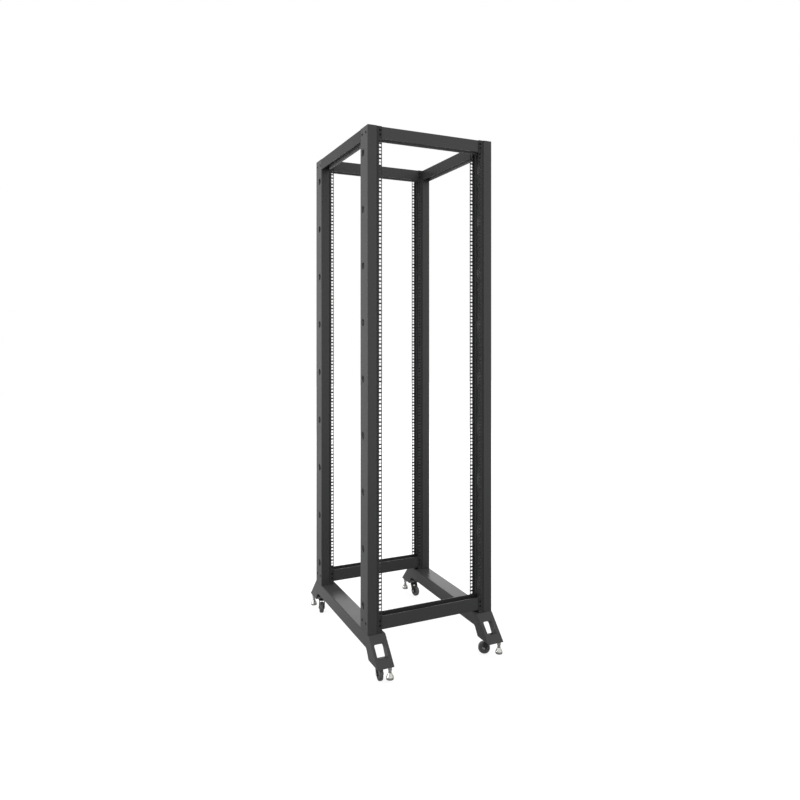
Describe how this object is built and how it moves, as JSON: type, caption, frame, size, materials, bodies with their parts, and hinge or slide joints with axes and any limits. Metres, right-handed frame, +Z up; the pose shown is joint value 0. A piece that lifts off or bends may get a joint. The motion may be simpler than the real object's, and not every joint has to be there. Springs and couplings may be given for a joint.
{
  "type": "four post open frame rack",
  "caption": "Open frame equipment rack with four perforated posts, top and bottom beams, channel feet, swivel casters and levelling feet.",
  "frame": {"origin": "on the floor, in the middle of the rack's footprint", "axes": "+Z up along the posts, +X to the right seen from the front, +Y to the back"},
  "size_m": [0.578, 0.85, 2.185],
  "materials": {
    "frame_black": "fine matt powder coat, black",
    "base_black": "fine matt powder coat, black",
    "zinc": "bright zinc plated steel",
    "caster_steel": "black plated pressed steel",
    "wheel_black": "moulded black nylon"
  },
  "bodies": {
    "rack": {"post_front_left": "frame_black", "post_front_right": "frame_black", "post_rear_left": "frame_black", "post_rear_right": "frame_black", "rail_front_left_front": "frame_black", "rail_front_left_back": "frame_black", "rail_front_right_front": "frame_black", "rail_front_right_back": "frame_black", "rail_rear_left_front": "frame_black", "rail_rear_left_back": "frame_black", "rail_rear_right_front": "frame_black", "rail_rear_right_back": "frame_black", "beam_top_front": "frame_black", "beam_top_rear": "frame_black", "beam_top_left": "frame_black", "beam_top_right": "frame_black", "beam_bottom_front": "frame_black", "beam_bottom_rear": "frame_black", "base_left": "base_black", "base_right": "base_black", "caster_plate_front_left": "caster_steel", "leveller_sleeve_front_left": "zinc", "caster_plate_front_right": "caster_steel", "leveller_sleeve_front_right": "zinc", "caster_plate_rear_left": "caster_steel", "leveller_sleeve_rear_left": "zinc", "caster_plate_rear_right": "caster_steel", "leveller_sleeve_rear_right": "zinc"},
    "swivel_front_left": {"caster_fork_front_left": "caster_steel", "caster_axle_front_left": "zinc"},
    "wheel_front_left": {"caster_wheel_front_left": "wheel_black"},
    "leveller_front_left": {"leveller_front_left": "zinc"},
    "swivel_front_right": {"caster_fork_front_right": "caster_steel", "caster_axle_front_right": "zinc"},
    "wheel_front_right": {"caster_wheel_front_right": "wheel_black"},
    "leveller_front_right": {"leveller_front_right": "zinc"},
    "swivel_rear_left": {"caster_fork_rear_left": "caster_steel", "caster_axle_rear_left": "zinc"},
    "wheel_rear_left": {"caster_wheel_rear_left": "wheel_black"},
    "leveller_rear_left": {"leveller_rear_left": "zinc"},
    "swivel_rear_right": {"caster_fork_rear_right": "caster_steel", "caster_axle_rear_right": "zinc"},
    "wheel_rear_right": {"caster_wheel_rear_right": "wheel_black"},
    "leveller_rear_right": {"leveller_rear_right": "zinc"}
  },
  "joints": [
    {"name": "swivel_front_left", "type": "hinge", "parent": "rack", "child": "swivel_front_left", "pos_m": [-0.25, -0.354, 0.058], "axis": [0, 0, 1], "continuous": true},
    {"name": "wheel_front_left", "type": "hinge", "parent": "swivel_front_left", "child": "wheel_front_left", "pos_m": [-0.25181, -0.36687, 0.025], "axis": [0.9903, -0.1392, 0], "continuous": true},
    {"name": "leveller_front_left", "type": "slide", "parent": "rack", "child": "leveller_front_left", "axis": [0, 0, 1], "range_m": [-0.02, 0.002]},
    {"name": "swivel_front_right", "type": "hinge", "parent": "rack", "child": "swivel_front_right", "pos_m": [0.25, -0.354, 0.058], "axis": [0, 0, 1], "continuous": true},
    {"name": "wheel_front_right", "type": "hinge", "parent": "swivel_front_right", "child": "wheel_front_right", "pos_m": [0.23897, -0.34711, 0.025], "axis": [-0.5299, -0.848, 0], "continuous": true},
    {"name": "leveller_front_right", "type": "slide", "parent": "rack", "child": "leveller_front_right", "axis": [0, 0, 1], "range_m": [-0.02, 0.002]},
    {"name": "swivel_rear_left", "type": "hinge", "parent": "rack", "child": "swivel_rear_left", "pos_m": [-0.25, 0.354, 0.058], "axis": [0, 0, 1], "continuous": true},
    {"name": "wheel_rear_left", "type": "hinge", "parent": "swivel_rear_left", "child": "wheel_rear_left", "pos_m": [-0.25549, 0.34222, 0.025], "axis": [0.9063, -0.4226, 0], "continuous": true},
    {"name": "leveller_rear_left", "type": "slide", "parent": "rack", "child": "leveller_rear_left", "axis": [0, 0, 1], "range_m": [-0.02, 0.002]},
    {"name": "swivel_rear_right", "type": "hinge", "parent": "rack", "child": "swivel_rear_right", "pos_m": [0.25, 0.354, 0.058], "axis": [0, 0, 1], "continuous": true},
    {"name": "wheel_rear_right", "type": "hinge", "parent": "swivel_rear_right", "child": "wheel_rear_right", "pos_m": [0.25226, 0.3412, 0.025], "axis": [0.9848, 0.1736, 0], "continuous": true},
    {"name": "leveller_rear_right", "type": "slide", "parent": "rack", "child": "leveller_rear_right", "axis": [0, 0, 1], "range_m": [-0.02, 0.002]}
  ]
}
